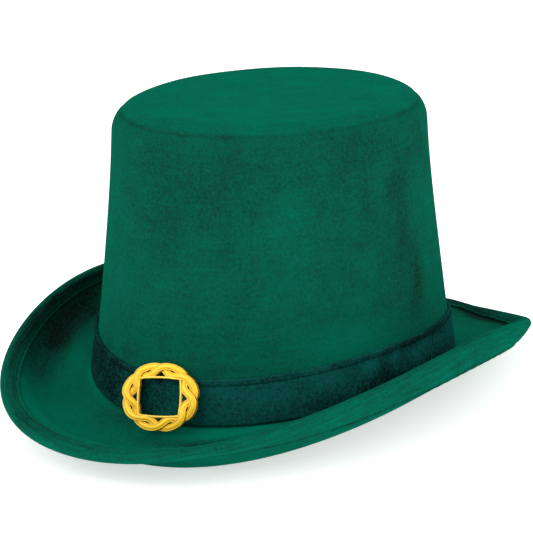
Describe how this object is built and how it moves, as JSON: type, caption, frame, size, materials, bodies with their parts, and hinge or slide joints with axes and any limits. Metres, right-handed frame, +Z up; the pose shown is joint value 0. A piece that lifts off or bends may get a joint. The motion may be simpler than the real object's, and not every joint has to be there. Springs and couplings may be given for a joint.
{
  "type": "leprechaun hat",
  "caption": "Tapering oval top hat of green velour with a curled, wire-edged brim, a folded band and a braided buckle.",
  "frame": {"origin": "middle of the hat's length and width, on the surface it rests on, below the crown's centre line", "axes": "+Z up along the crown, -Y towards the front with the buckle, +X towards the wearer's left"},
  "size_m": [0.245, 0.3216, 0.155],
  "materials": {
    "green_velour": "soft napped velour over stiff felt, mottled by crushed pile",
    "hem_velour": "velour binding folded over a wired, padded edge",
    "band_velour": "dark bottle-green velour ribbon, folded at the top",
    "gold_buckle": "bright yellow gold plating on cast metal"
  },
  "bodies": {
    "root": {"crown": "green_velour", "brim": "green_velour", "brim_hem": "hem_velour", "hat_band": "band_velour", "buckle": "gold_buckle"}
  },
  "joints": []
}
